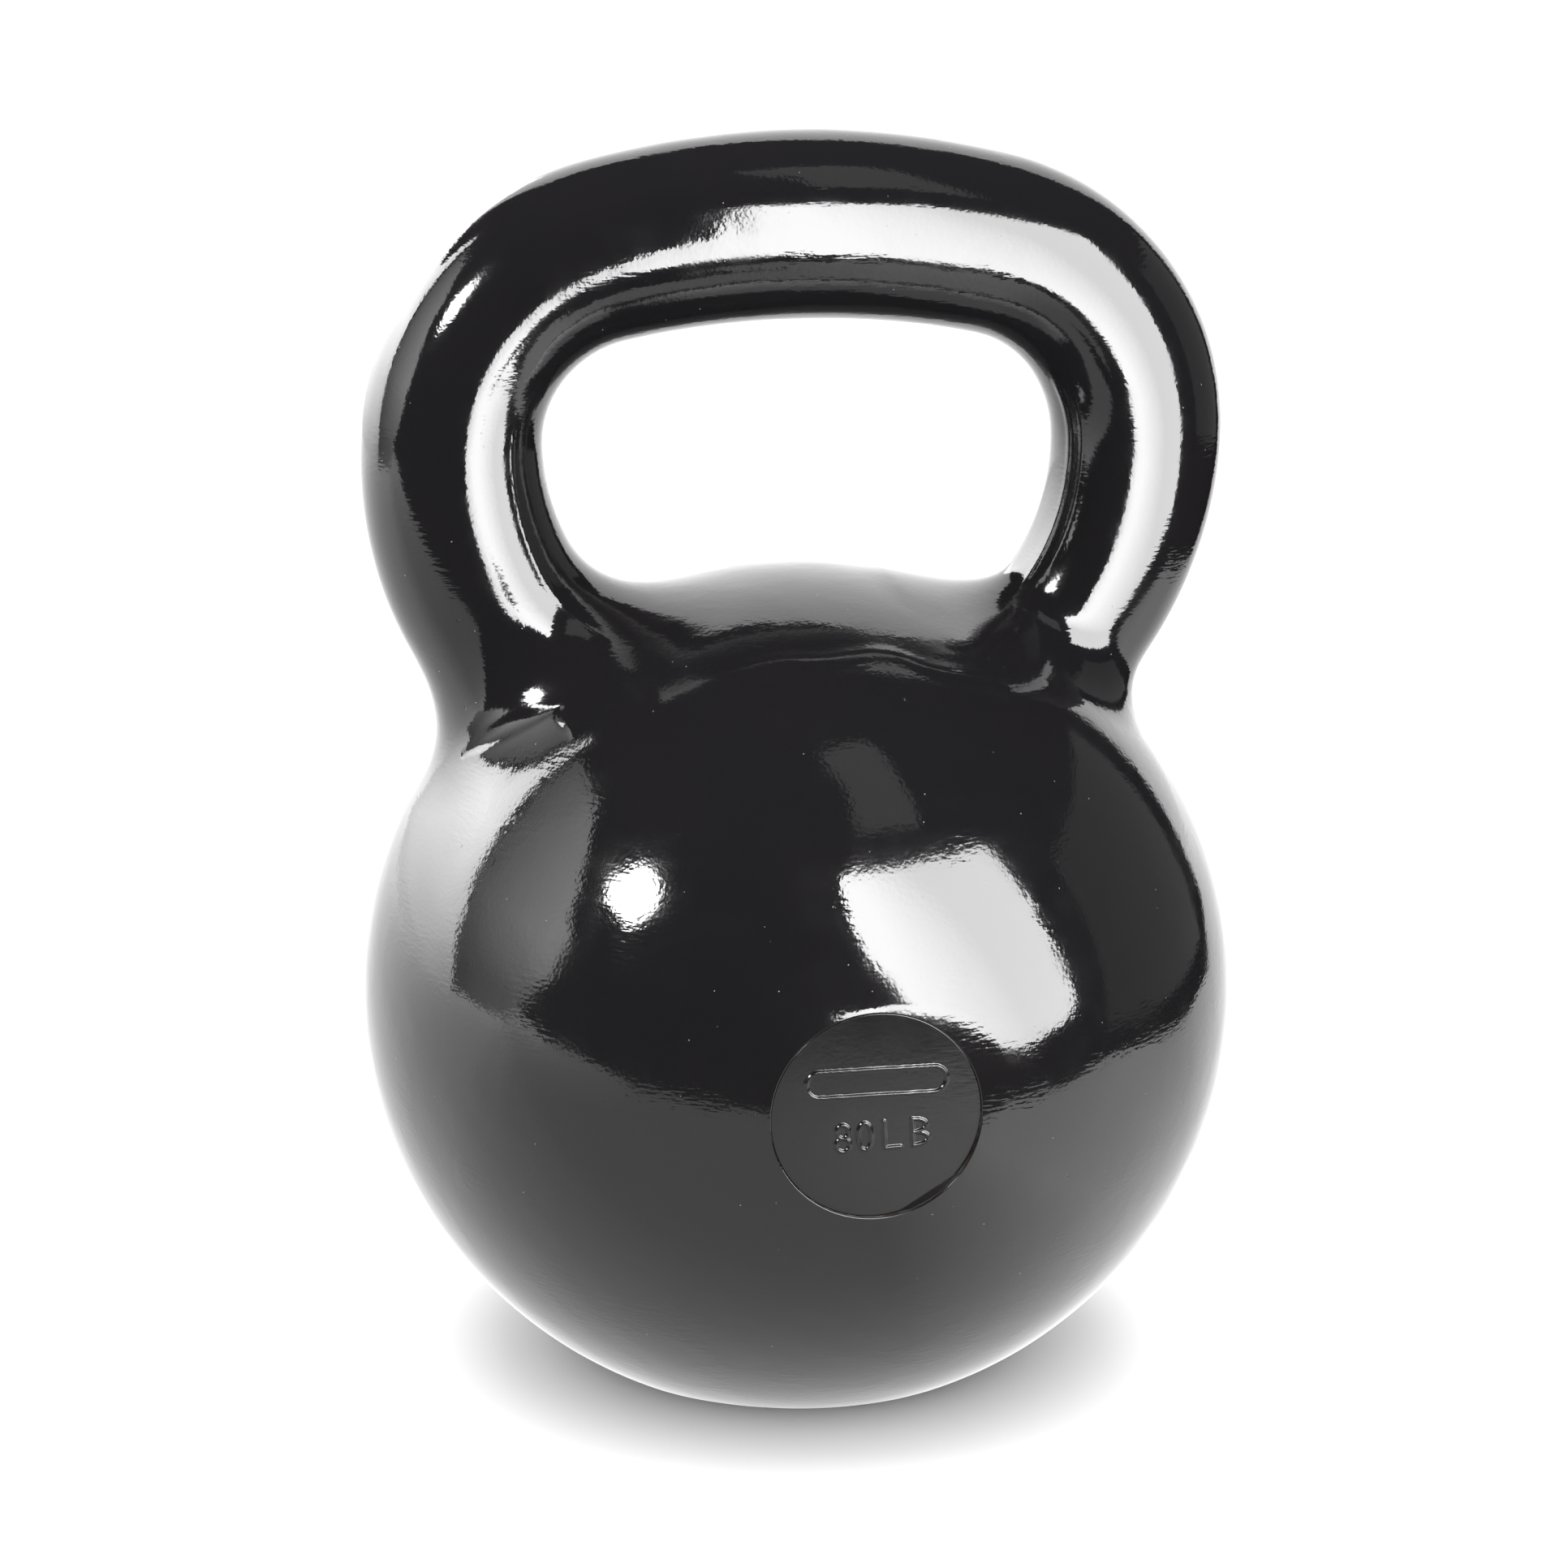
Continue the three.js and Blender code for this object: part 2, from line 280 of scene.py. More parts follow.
def top_ridge(place):
    """The faint wavy edge of the flatter land on top of the ball, which curls back at its right end."""
    x, y, z = place[:3]
    growth = np.clip((x - RIDGE_START) / RIDGE_WAVE_RAMP, 0, 1)
    wave = RIDGE_WAVE * growth * np.sin(2 * math.pi * (x - RIDGE_WAVE_START) / RIDGE_WAVE_LENGTH)
    curl = CURL_RISE * np.clip((x - CURL_START) / CURL_LENGTH, 0, 1) ** 2
    across = (y + RIDGE_DEPTH + wave - curl) / (1 + CURL_WIDENING * (curl > 0))
    here = smooth_step(x, RIDGE_START, RIDGE_START + RIDGE_RISE_LENGTH) * (1 - smooth_step(x, *RIDGE_FALL))
    here = here * (z > RIDGE_LOWEST)
    lift = RIDGE_HEIGHT * here * np.exp(-((across / RIDGE_HALF_WIDTH) ** 2))
    return lift, (here > 0) & (np.abs(across) < LINE_REACH * RIDGE_HALF_WIDTH)


def casting_waves(place):
    """The slow unevenness that a sand casting keeps under its enamel."""
    x, y, z = place[:3]
    slow = 1.0
    for where, length, start in zip(place, SLOW_LENGTHS, SLOW_STARTS):
        slow = slow * np.sin(where / length + start)
    (x_length, xz_length), (y_length, yz_length) = QUICK_LENGTHS
    quick = np.sin(x / x_length + z / xz_length) * np.sin(y / y_length - z / yz_length)
    return SLOW_WAVE * slow + QUICK_WAVE * quick


def window_shoulder(points):
    """The enamel rolls down into the disc's window, most of all at its upper right."""
    flat = to_disc(points)
    beyond = np.clip(np.hypot(flat[..., 0], flat[..., 1]) - WINDOW_RADIUS, 0, None)
    bearing = np.arctan2(flat[..., 1], flat[..., 0])
    soft = (0.5 + 0.5 * np.cos(bearing - SHOULDER_BEARING)) ** SHOULDER_SHARPNESS
    front = flat[..., 2] > DISC_FACE_DEPTH / 2
    slope_width = SHOULDER_WIDTH + SHOULDER_EXTRA_WIDTH * soft
    roll = np.clip(1 - beyond / slope_width, 0, 1) ** SHOULDER_CURVE
    fall = (SHOULDER_FALL + SHOULDER_EXTRA_FALL * soft) * roll
    return -fall * front, front & (beyond < slope_width)


def details(points, place):
    seams = [seam_ridge(place, *line) for line in SEAM_LINES]
    return seams + [foot_groove(place), enamel_drop(place), top_ridge(place), window_shoulder(points)]


def parts_of_field(points):
    x, y, z = (points[..., i] for i in range(3))
    right = 1 / (1 + np.exp(-x / SIDE_FADE))
    gap, along, outside = nearest_on_loop(np.abs(x), z)
    radius = by_side({side: bar_radius(along, radii) for side, radii in BAR_RADII.items()}, right)
    horn = np.hypot(gap, y) - radius
    ball = np.sqrt(x**2 + y**2 + ((z - BALL_CENTRE_HEIGHT) / BALL_SQUASH) ** 2) - BALL_RADIUS
    reach = by_side(FOOT_BLEND, right)
    share = np.clip(0.5 + 0.5 * (horn - ball) / reach, 0, 1)
    body = horn * (1 - share) + ball * share - reach * share * (1 - share)
    return body, (x, y, z, along, outside, radius)


def skin(points):
    body, place = parts_of_field(points)
    raised = casting_waves(place)
    for lift, _ in details(points, place):
        raised = raised + lift
    return body - raised


def wants_fine_mesh(points):
    _, place = parts_of_field(points)
    fine = np.zeros(len(points), bool)
    for _, close in details(points, place):
        fine |= close
    return fine


def slope(points, field):
    """The direction in which the field grows fastest, and how fast."""
    rises = [field(points + nudge) - field(points - nudge) for nudge in SLOPE_STEP * np.eye(3)]
    return np.stack(rises, axis=-1) / (2 * SLOPE_STEP)


def onto(points, field, rounds=2):
    for _ in range(rounds):
        steepest = slope(points, field)
        points = points - field(points)[:, None] * steepest / (steepest**2).sum(axis=-1, keepdims=True)
    return points


def unit(vectors):
    return vectors / np.linalg.norm(vectors, axis=-1, keepdims=True)


# ---- The disc's own axes: x to the right, y up, z out of the ball ----
tilt = np.array(Matrix.Rotation(DISC_TILT, 3, Vector((1, 1, 0)).normalized()))
stand_up = np.array(Matrix.Rotation(math.pi / 2, 3, "X"))
disc_turn = stand_up @ tilt
disc_origin = np.array((0, -DISC_FACE_DEPTH, DISC_CENTRE_HEIGHT))


def to_disc(points):
    """From the part's axes to the disc's, with z = DISC_FACE_DEPTH on the disc's face."""
    return (points - disc_origin) @ disc_turn + (0, 0, DISC_FACE_DEPTH)


def from_disc(points):
    return (points - (0, 0, DISC_FACE_DEPTH)) @ disc_turn.T + disc_origin


# ---- Meshing ----
def surface_net(field, low, high, step):
    """Four-cornered faces round the field's zero level, with one point in each grid cell that it crosses."""
    sizes = np.ceil((high - low) / step).astype(int) + 1
    axes = [low[i] + step * np.arange(sizes[i]) for i in range(3)]
    inside = field(np.stack(np.meshgrid(*axes, indexing="ij"), axis=-1)) < 0
    quads = []
    for axis in range(3):
        ends = [np.roll(inside, -1, axis), inside]
        crossed = np.argwhere(ends[0] != ends[1])
        second, third = np.eye(3, dtype=int)[[(axis + 1) % 3, (axis + 2) % 3]]
        around = crossed[:, None, :] - np.stack([second + third, third, 0 * third, second])
        leaving = inside[tuple(crossed.T)]
        quads.append(np.where(leaving[:, None, None], around, around[:, ::-1]))
    corners = np.concatenate(quads)
    cells, faces = np.unique(corners.reshape(-1, 3), axis=0, return_inverse=True)
    return low + step * (cells + 0.5), faces.reshape(-1, 4)


def settled(points, quads, field, rounds):
    """Evens out the points along the surface, and puts them back on it."""
    links = np.concatenate([quads[:, [i, (i + 1) % 4]] for i in range(4)])
    links = np.concatenate([links, links[:, ::-1]])
    count = np.bincount(links[:, 0])
    for _ in range(rounds):
        total = [np.bincount(links[:, 0], weights=points[links[:, 1], i]) for i in range(3)]
        points = (points + np.stack(total, axis=-1) / count[:, None]) / 2
        points = onto(points, field, rounds=1)
    return onto(points, field)


def split_faces(points, faces, chosen):
    """Splits each chosen face into one for each corner. A face beside them only gains their new corners."""
    middles = {}
    added = []

    def add(indices):
        added.append(points[indices].mean(axis=0))
        return len(points) + len(added) - 1

    for face, picked in zip(faces, chosen):
        if picked:
            for a, b in zip(face, face[1:] + face[:1]):
                if (min(a, b), max(a, b)) not in middles:
                    middles[min(a, b), max(a, b)] = add([a, b])
    result = []
    for face, picked in zip(faces, chosen):
        sides = [middles.get((min(a, b), max(a, b))) for a, b in zip(face, face[1:] + face[:1])]
        if picked:
            centre = add(face)
            result += [[corner, sides[i], centre, sides[i - 1]] for i, corner in enumerate(face)]
        else:
            result.append([index for pair in zip(face, sides) for index in pair if index is not None])
    return np.concatenate([points, np.array(added)]), result


def cut(points, faces, field, level, snap):
    """Keeps the part of a skin where `level` is positive, and ends it in a clean line."""
    values = level(points)
    near = np.flatnonzero(np.abs(values) < snap)
    for _ in range(CUT_ROUNDS):
        across = slope(points[near], level)
        normal = unit(slope(points[near], field))
        across -= (across * normal).sum(axis=-1, keepdims=True) * normal
        moved = level(points[near])[:, None] * across / (across**2).sum(axis=-1, keepdims=True)
        points[near] = onto(points[near] - moved, field, rounds=1)
    values[near] = 0
    crossings = {}
    added = []
    kept = []
    for face in faces:
        signs = [values[i] for i in face]
        if max(signs) <= 0:
            continue
        if min(signs) >= 0:
            kept.append(face)
            continue
        corners = []
        for a, b in zip(face, face[1:] + face[:1]):
            if values[a] >= 0:
                corners.append(a)
            if values[a] * values[b] < 0:
                edge = (min(a, b), max(a, b))
                if edge not in crossings:
                    crossings[edge] = len(points) + len(added)
                    share = values[a] / (values[a] - values[b])
                    added.append(points[a] + share * (points[b] - points[a]))
                corners.append(crossings[edge])
        if len(corners) > 2:
            kept.append(corners)
    if added:
        points = np.concatenate([points, np.array(added)])
    used = np.unique([index for face in kept for index in face])
    place = {old: new for new, old in enumerate(used)}
    return points[used], [[place[index] for index in face] for face in kept]


def rim_edges(faces):
    """The edges that only one face has, in that face's order."""
    edges = {(a, b) for face in faces for a, b in zip(face, face[1:] + face[:1])}
    return np.array([edge for edge in edges if edge[::-1] not in edges])


def outward_at_rim(points, normals, edges):
    """At each rim point, the direction along the skin that leads out of it."""
    outward = np.zeros(points.shape)
    along = unit(points[edges[:, 1]] - points[edges[:, 0]])
    for end in range(2):
        np.add.at(outward, edges[:, end], np.cross(along, normals[edges[:, end]]))
    rim = np.unique(edges)
    outward[rim] -= (outward[rim] * normals[rim]).sum(axis=-1, keepdims=True) * normals[rim]
    outward[rim] = unit(outward[rim])
    return rim, outward


def shell(points, faces, normals, thickness):
    """Backs a skin with its own copy, a thickness inside it, and rounds over its open rims."""
    edges = rim_edges(faces)
    rim, outward = outward_at_rim(points, normals, edges)
    rows, row_normals, row_index = [points], [normals], [{i: i for i in range(len(points))}]
    total = len(points)
    for step in range(1, RIM_ROUNDING_STEPS):
        angle = math.pi * step / RIM_ROUNDING_STEPS
        facing = math.sin(angle) * outward[rim] + math.cos(angle) * normals[rim]
        rows.append(points[rim] - thickness / 2 * normals[rim] + thickness / 2 * facing)
        row_normals.append(facing)
        row_index.append({old: total + i for i, old in enumerate(rim)})
        total += len(rim)
    rows.append(points - thickness * normals)
    row_normals.append(-normals)
    row_index.append({i: total + i for i in range(len(points))})
    result = list(faces) + [[index + total for index in reversed(face)] for face in faces]
    for upper, lower in zip(row_index, row_index[1:]):
        result += [[upper[b], upper[a], lower[a], lower[b]] for a, b in edges]
    return np.concatenate(rows), result, np.concatenate(row_normals)


def make_piece(name, points, faces, normals, material):
    mesh = bpy.data.meshes.new(name)
    mesh.from_pydata((points * MM).tolist(), [], faces)
    mesh.validate()
    mesh.shade_smooth()
    mesh.normals_split_custom_set_from_vertices(unit(normals).tolist())
    mesh.materials.append(material)
    piece = bpy.data.objects.new(name, mesh)
    bpy.context.scene.collection.objects.link(piece)
    return piece


# ---- The enamel ----
def window_level(points):
    """Distance outside the disc's window, on the front of the ball."""
    flat = to_disc(points)
    reach = np.hypot(flat[..., 0], flat[..., 1]) - WINDOW_RADIUS - ENAMEL_THICKNESS / 2
    return np.where(flat[..., 2] > DISC_FACE_DEPTH / 2, reach, BALL_RADIUS)


def foot_level(points):
    return points[..., 2] - FOOT_HEIGHT


def enamel_skin(material):
    low = coat_low - 2 * GRID_STEP - (0, 0, BALL_RADIUS / 4)
    high = coat_high + 2 * GRID_STEP
    points, quads = surface_net(skin, low, high, GRID_STEP)
    points = settled(points, quads, skin, SETTLE_ROUNDS)
    faces = quads.tolist()
    for _ in range(DETAIL_LEVELS):
        fine = wants_fine_mesh(points)
        points, faces = split_faces(points, faces, [any(fine[i] for i in face) for face in faces])
        points = onto(points, skin)
    points, faces = cut(points, faces, skin, window_level, WINDOW_SNAP)
    points, faces = cut(points, faces, skin, foot_level, FOOT_SNAP)
    normals = unit(slope(points, skin))
    points, faces, normals = shell(points, faces, normals, ENAMEL_THICKNESS)
    return make_piece("enamel_skin", points, faces, normals, material)


# ---- The marking disc ----
def to_oval(x, y, centre_x, centre_y, width, height):
    """Distance to the outline of an oval."""
    across, up = width / 2, height / 2
    x, y = x - centre_x, y - centre_y
    size = np.hypot(x / across, y / up)
    steep = np.hypot(x / across**2, y / up**2) + 1e-9
    return np.abs(size * (size - 1) / steep)


def to_line(x, y, start, end):
    """Distance to a straight stroke."""
    run_x, run_y = end[0] - start[0], end[1] - start[1]
    share = ((x - start[0]) * run_x + (y - start[1]) * run_y) / (run_x**2 + run_y**2)
    share = np.clip(share, 0, 1)
    return np.hypot(x - start[0] - share * run_x, y - start[1] - share * run_y)


def to_stadium(x, y, centre_y, width, height):
    """Distance to the outline of a frame with straight sides and round ends."""
    reach = (width - height) / 2
    beyond = np.clip(np.abs(x) - reach, 0, None)
    return np.abs(np.hypot(beyond, y - centre_y) - height / 2)


def relief(x, y):
    """The raised strokes on the disc: a plain frame, and below it the weight, 80 LB."""
    turned_x = x * math.cos(MARK_TILT) + y * math.sin(MARK_TILT)
    turned_y = y * math.cos(MARK_TILT) - x * math.sin(MARK_TILT) - MARK_LINE
    half = MARK_HEIGHT / 2 - MARK_HALF_STROKE / 2
    bowl = half / 2
    upper_bowl = to_oval(turned_x, turned_y, B_START, bowl, 2 * (LETTER_WIDTH - BOWL_STEP), half)
    lower_bowl = to_oval(turned_x, turned_y, B_START, -bowl, 2 * LETTER_WIDTH, half)
    strokes = [
        to_oval(turned_x, turned_y, EIGHT_MIDDLE, bowl, FIGURE_WIDTH - BOWL_STEP, half),
        to_oval(turned_x, turned_y, EIGHT_MIDDLE, -bowl, FIGURE_WIDTH, half),
        to_oval(turned_x, turned_y, NOUGHT_MIDDLE, 0, FIGURE_WIDTH, 2 * half),
        to_line(turned_x, turned_y, (L_START, half), (L_START, -half)),
        to_line(turned_x, turned_y, (L_START, -half), (L_START + LETTER_WIDTH, -half)),
        to_line(turned_x, turned_y, (B_START, half), (B_START, -half)),
        np.where(turned_x > B_START, np.minimum(upper_bowl, lower_bowl), BALL_RADIUS),
        to_stadium(x, y, FRAME_LINE, FRAME_WIDTH - MARK_HALF_STROKE, FRAME_HEIGHT - MARK_HALF_STROKE),
    ]
    nearest = np.min(strokes, axis=0)
    raised = MARK_RELIEF * (1 - smooth_step(nearest, MARK_FLAT, MARK_HALF_STROKE))
    toward_fill = x * math.cos(FILL_BEARING) + y * math.sin(FILL_BEARING)
    return raised + FILL_SLOPE * np.clip(toward_fill - FILL_CHORD, 0, None)


def marking_face(material):
    """A square grid drawn out into a round one, raised where the strokes are, with a rounded edge."""
    radius = WINDOW_RADIUS - DISC_SEAM
    grid = np.linspace(-1, 1, DISC_GRID + 1)
    across, up = (side.ravel() for side in np.meshgrid(grid, grid, indexing="ij"))
    x = (radius - DISC_EDGE) * across * np.sqrt(1 - up**2 / 2)
    y = (radius - DISC_EDGE) * up * np.sqrt(1 - across**2 / 2)
    height = relief(x, y)
    lean_x = (relief(x + SLOPE_STEP, y) - relief(x - SLOPE_STEP, y)) / (2 * SLOPE_STEP)
    lean_y = (relief(x, y + SLOPE_STEP) - relief(x, y - SLOPE_STEP)) / (2 * SLOPE_STEP)
    rows = [np.stack([x, y, height], axis=-1)]
    row_normals = [unit(np.stack([-lean_x, -lean_y, np.ones(x.shape)], axis=-1))]
    corner = np.arange((DISC_GRID + 1) ** 2).reshape(DISC_GRID + 1, DISC_GRID + 1)
    faces = np.stack([corner[:-1, :-1], corner[1:, :-1], corner[1:, 1:], corner[:-1, 1:]], axis=-1)
    faces = faces.reshape(-1, 4).tolist()
    ring = np.concatenate([corner[:-1, 0], corner[-1, :-1], corner[:0:-1, -1], corner[0, :0:-1]])
    outward = unit(np.stack([x[ring], y[ring], 0 * ring], axis=-1))
    facing_out = np.array((0, 0, 1))
    total = len(x)
    previous = ring
    angles = [math.pi / 2 * (i + 1) / DISC_EDGE_STEPS for i in range(DISC_EDGE_STEPS)]
    profile = [(DISC_EDGE * math.sin(angle), DISC_EDGE * (math.cos(angle) - 1), angle) for angle in angles]
    profile.append((DISC_EDGE, -DISC_THICKNESS, math.pi / 2))
    for reach, lift, angle in profile:
        rows.append((radius - DISC_EDGE + reach) * outward + lift * facing_out)
        row_normals.append(math.sin(angle) * outward + math.cos(angle) * facing_out)
        current = total + np.arange(len(ring))
        total += len(ring)
        faces += np.stack([previous, current, np.roll(current, -1), np.roll(previous, -1)], axis=-1).tolist()
        previous = current
    faces.append(previous[::-1].tolist())
    points = from_disc(np.concatenate(rows) + (0, 0, DISC_FACE_DEPTH))
    normals = np.concatenate(row_normals) @ disc_turn.T
    return make_piece("marking_face", points, faces, normals, material)


# ---- Materials: each pair of colours is what a cloudy noise runs between ----
ENAMEL_BLACKS = ((0.006, 0.006, 0.0068), (0.0085, 0.0076, 0.008))
DUST_GREY = (0.2, 0.2, 0.2)
IRON_AND_RUST = ((0.16, 0.155, 0.15), (0.09, 0.06, 0.045))
WELD_GREYS = ((0.3, 0.29, 0.28), (0.16, 0.13, 0.12))
PAPER_WHITES = ((0.8, 0.8, 0.8), (0.82, 0.82, 0.82))
HAIR_TURNS = ((0.9, 0.3, 0), (-0.6, 1.0, 0.4))
HAIR_STRETCH = (0.2, 0.2, 1)


class Recipe:
    """A node material on the Principled shader, with short ways to add the nodes used here."""

    def __init__(self, name):
        self.material = bpy.data.materials.new(name)
        self.material.use_nodes = True
        self.tree = self.material.node_tree
        self.shader = self.tree.nodes["Principled BSDF"]
        self.place = self.tree.nodes.new("ShaderNodeTexCoord").outputs["Object"]

    def set(self, **values):
        for name, value in values.items():
            self.shader.inputs[name.replace("_", " ")].default_value = value

    def add(self, kind, inputs, **settings):
        node = self.tree.nodes.new(kind)
        for name, value in settings.items():
            setattr(node, name, value)
        for name, value in inputs.items():
            if isinstance(value, bpy.types.NodeSocket):
                self.tree.links.new(value, node.inputs[name])
            else:
                node.inputs[name].default_value = value
        return node

    def stretched(self, scale, turn=(0, 0, 0)):
        inputs = {"Vector": self.place, "Scale": scale, "Rotation": turn}
        return self.add("ShaderNodeMapping", inputs).outputs["Vector"]

    def noise(self, size, detail=2.0, vector=None):
        """Cloudy noise with features about `size` millimetres across."""
        inputs = {"Vector": vector or self.place, "Scale": 1 / (size * MM), "Detail": detail}
        return self.add("ShaderNodeTexNoise", inputs).outputs["Fac"]

    def dots(self, spacing, radius):
        """1 inside small round dots strewn about `spacing` millimetres apart, and 0 between them."""
        cells = self.add("ShaderNodeTexVoronoi", {"Vector": self.place, "Scale": 1 / (spacing * MM)})
        return self.between(cells.outputs["Distance"], radius / spacing, 0.6 * radius / spacing)

    def between(self, value, start, end, low=0.0, high=1.0):
        inputs = {"Value": value, "From Min": start, "From Max": end, "To Min": low, "To Max": high}
        return self.add("ShaderNodeMapRange", inputs).outputs["Result"]

    def maths(self, operation, first, second):
        return self.add("ShaderNodeMath", {0: first, 1: second}, operation=operation).outputs[0]

    def mixed(self, share, first, second):
        node = self.add("ShaderNodeMix", {}, data_type="RGBA")
        self.tree.links.new(share, node.inputs["Factor"])
        for name, value in (("A", first), ("B", second)):
            socket = next(s for s in node.inputs if s.name == name and s.type == "RGBA")
            if isinstance(value, bpy.types.NodeSocket):
                self.tree.links.new(value, socket)
            else:
                socket.default_value = (*value, 1)
        return next(s for s in node.outputs if s.type == "RGBA")

    def bump(self, height, lift, after=None):
        """A relief of up to `lift` millimetres, laid over an earlier one."""
        node = self.add("ShaderNodeBump", {"Height": height, "Distance": lift * MM})
        if after:
            self.tree.links.new(after, node.inputs["Normal"])
        return node.outputs["Normal"]

    def feed(self, **sockets):
        for name, socket in sockets.items():
            self.tree.links.new(socket, self.shader.inputs[name.replace("_", " ")])
        return self.material


def enamel(name, dullness, peel):
    """Thick black gloss enamel: fine orange peel, faint wiping streaks, dust specks and pinholes."""
    recipe = Recipe(name)
    recipe.set(IOR=1.5)
    tint = recipe.mixed(recipe.noise(30), *ENAMEL_BLACKS)
    dust = recipe.dots(5.0, 0.16)
    colour = recipe.mixed(dust, tint, DUST_GREY)
    shine = recipe.between(recipe.noise(9, 4), 0.35, 0.7, 0.06 + dullness, 0.12 + dullness)
    relief_normal = recipe.bump(recipe.noise(1.0, 1), 0.02 * peel)
    wiped = recipe.between(recipe.noise(14, 1), 0.45, 0.62)
    for turn in HAIR_TURNS:
        hairs = recipe.noise(0.8, 1, recipe.stretched(HAIR_STRETCH, turn))
        relief_normal = recipe.bump(recipe.maths("MULTIPLY", hairs, wiped), 0.03 * peel, relief_normal)
    relief_normal = recipe.bump(dust, 0.03, relief_normal)
    relief_normal = recipe.bump(recipe.dots(14.0, 0.35), -0.08 * peel, relief_normal)
    return recipe.feed(Base_Color=colour, Roughness=shine, Normal=relief_normal)


def cast_iron():
    """Bare grey iron with sand-cast grain and a breath of rust, seen at the ground foot."""
    recipe = Recipe("bare_cast_iron")
    recipe.set(Metallic=0.85)
    patches = recipe.between(recipe.noise(7, 6), 0.45, 0.7)
    colour = recipe.mixed(patches, *IRON_AND_RUST)
    rough = recipe.between(recipe.noise(2, 5), 0.3, 0.7, 0.42, 0.7)
    grain = recipe.bump(recipe.noise(0.9, 6), 0.08)
    return recipe.feed(Base_Color=colour, Roughness=rough, Normal=grain)


def weld_metal():
    """Weld bead: rippled grey steel with heat tint."""
    recipe = Recipe("bare_weld_metal")
    recipe.set(Metallic=0.95)
    colour = recipe.mixed(recipe.noise(4, 4), *WELD_GREYS)
    rough = recipe.between(recipe.noise(1.5, 4), 0.3, 0.7, 0.3, 0.5)
    ripples = recipe.bump(recipe.noise(1.8, 3, recipe.stretched((1, 1, 3))), 0.15)
    return recipe.feed(Base_Color=colour, Roughness=rough, Normal=ripples)


def pale_floor():
    """Matt white studio paper."""
    recipe = Recipe("studio_paper")
    recipe.set(Roughness=0.9)
    recipe.shader.inputs["Specular IOR Level"].default_value = 0.0
    colour = recipe.mixed(recipe.noise(60, 2), *PAPER_WHITES)
    return recipe.feed(Base_Color=colour)


# ---- The camera ----
CAMERA_AZIMUTH = -10
CAMERA_ELEVATION = 15
CAMERA_ROLL = math.radians(0.18)
CAMERA_DISTANCE = 1.0132
CAMERA_AIM = (-0.003, 0.0005, 0.1384)
CAMERA_LENS = 97.57
SENSOR_WIDTH = 36


def set_camera():
    data = bpy.data.cameras.new("camera")
    data.lens = CAMERA_LENS
    data.sensor_width = SENSOR_WIDTH
    camera = bpy.data.objects.new("camera", data)
    back = Vector(direction(CAMERA_AZIMUTH, CAMERA_ELEVATION))
    roll = Matrix.Rotation(CAMERA_ROLL, 3, "Z").to_quaternion()
    camera.rotation_mode = "QUATERNION"
    camera.rotation_quaternion = (-back).to_track_quat("-Z", "Y") @ roll
    camera.location = Vector(CAMERA_AIM) + CAMERA_DISTANCE * back
    bpy.context.scene.collection.objects.link(camera)
    bpy.context.scene.camera = camera


# ---- The studio ----
STUDIO_CENTRE = (0, 0, 0.12)
FLOOR_REACH = 9
FLOOR_GLOW_HEIGHT = 0.0002
SKY_STRENGTH = 2.1
OVERHEAD_SIZE = 1.6
OVERHEAD_POWER = 24
OVERHEAD_PLACE = (0, 0.2, 1.5)

# The softbox leans away from the object, so its outline is given as x and z and lies on one slanting plane.
SOFTBOX_MIDDLE = (0.08, -0.282, 0.148)
SOFTBOX_SWING = 0.287
SOFTBOX_LEAN = 0.483
SOFTBOX_STRENGTH = 24
SOFTBOX_FADES = (("X", -0.02, 0.03, 0.7, 1), ("X", 0.07, 0.2, 1, 0.68))
SOFTBOX_OUTLINE = (
    (0.03, 0.56), (0.014, 0.28), (-0.02, 0.175), (0.0, 0.135), (0.06, 0.12), (0.12, 0.1), (0.176, 0.083),
    (0.258, 0.096), (0.3, 0.112), (0.327, 0.168), (0.445, 0.43), (0.565, 0.677), (0.22, 0.56),
)

# A small black flag before the ball hides the softbox's lower left corner from it: x and z on a plane in y.
FLAG_PLANE = -0.15
FLAG_OUTLINE = (
    (-0.025, 0.122), (0.026, 0.122), (0.0196, 0.1323), (0.0085, 0.149), (0.0019, 0.171), (-0.003, 0.192),
    (-0.025, 0.192),
)

# The floor as the gloss sees it: it ends in front of the object, and along its right side.
FLOOR_OUTLINE = (
    (-1.6, -0.41), (-0.1, -0.41), (0.2, -0.33), (0.45, -0.17), (0.48, 0.25), (1.1, 0.93), (6, 5.1), (6, 9),
    (-9, 9), (-9, -0.41),
)

# How bright that floor is: where a change starts and ends, and the strength at each end. It goes by y behind
# the object, and by x before it and at the left. The first two meet between the places in FLOOR_MEETING.
FLOOR_BEHIND = (0.3, 1.5, 1.6, 2.3)
FLOOR_BEFORE = (0.02, 0.13, 1.0, 2.3)
FLOOR_MEETING = (0.02, -0.12)
FLOOR_LEFTWARD = (-0.3, -1.6, 0.0, 1.5)

# A round lamp at the upper left.
LAMP_DIRECTION = (-61, 33)
LAMP_DISTANCE = 1.5
LAMP_RADIUS = 0.18
LAMP_SIDES = 24
LAMP_STRENGTH = 40

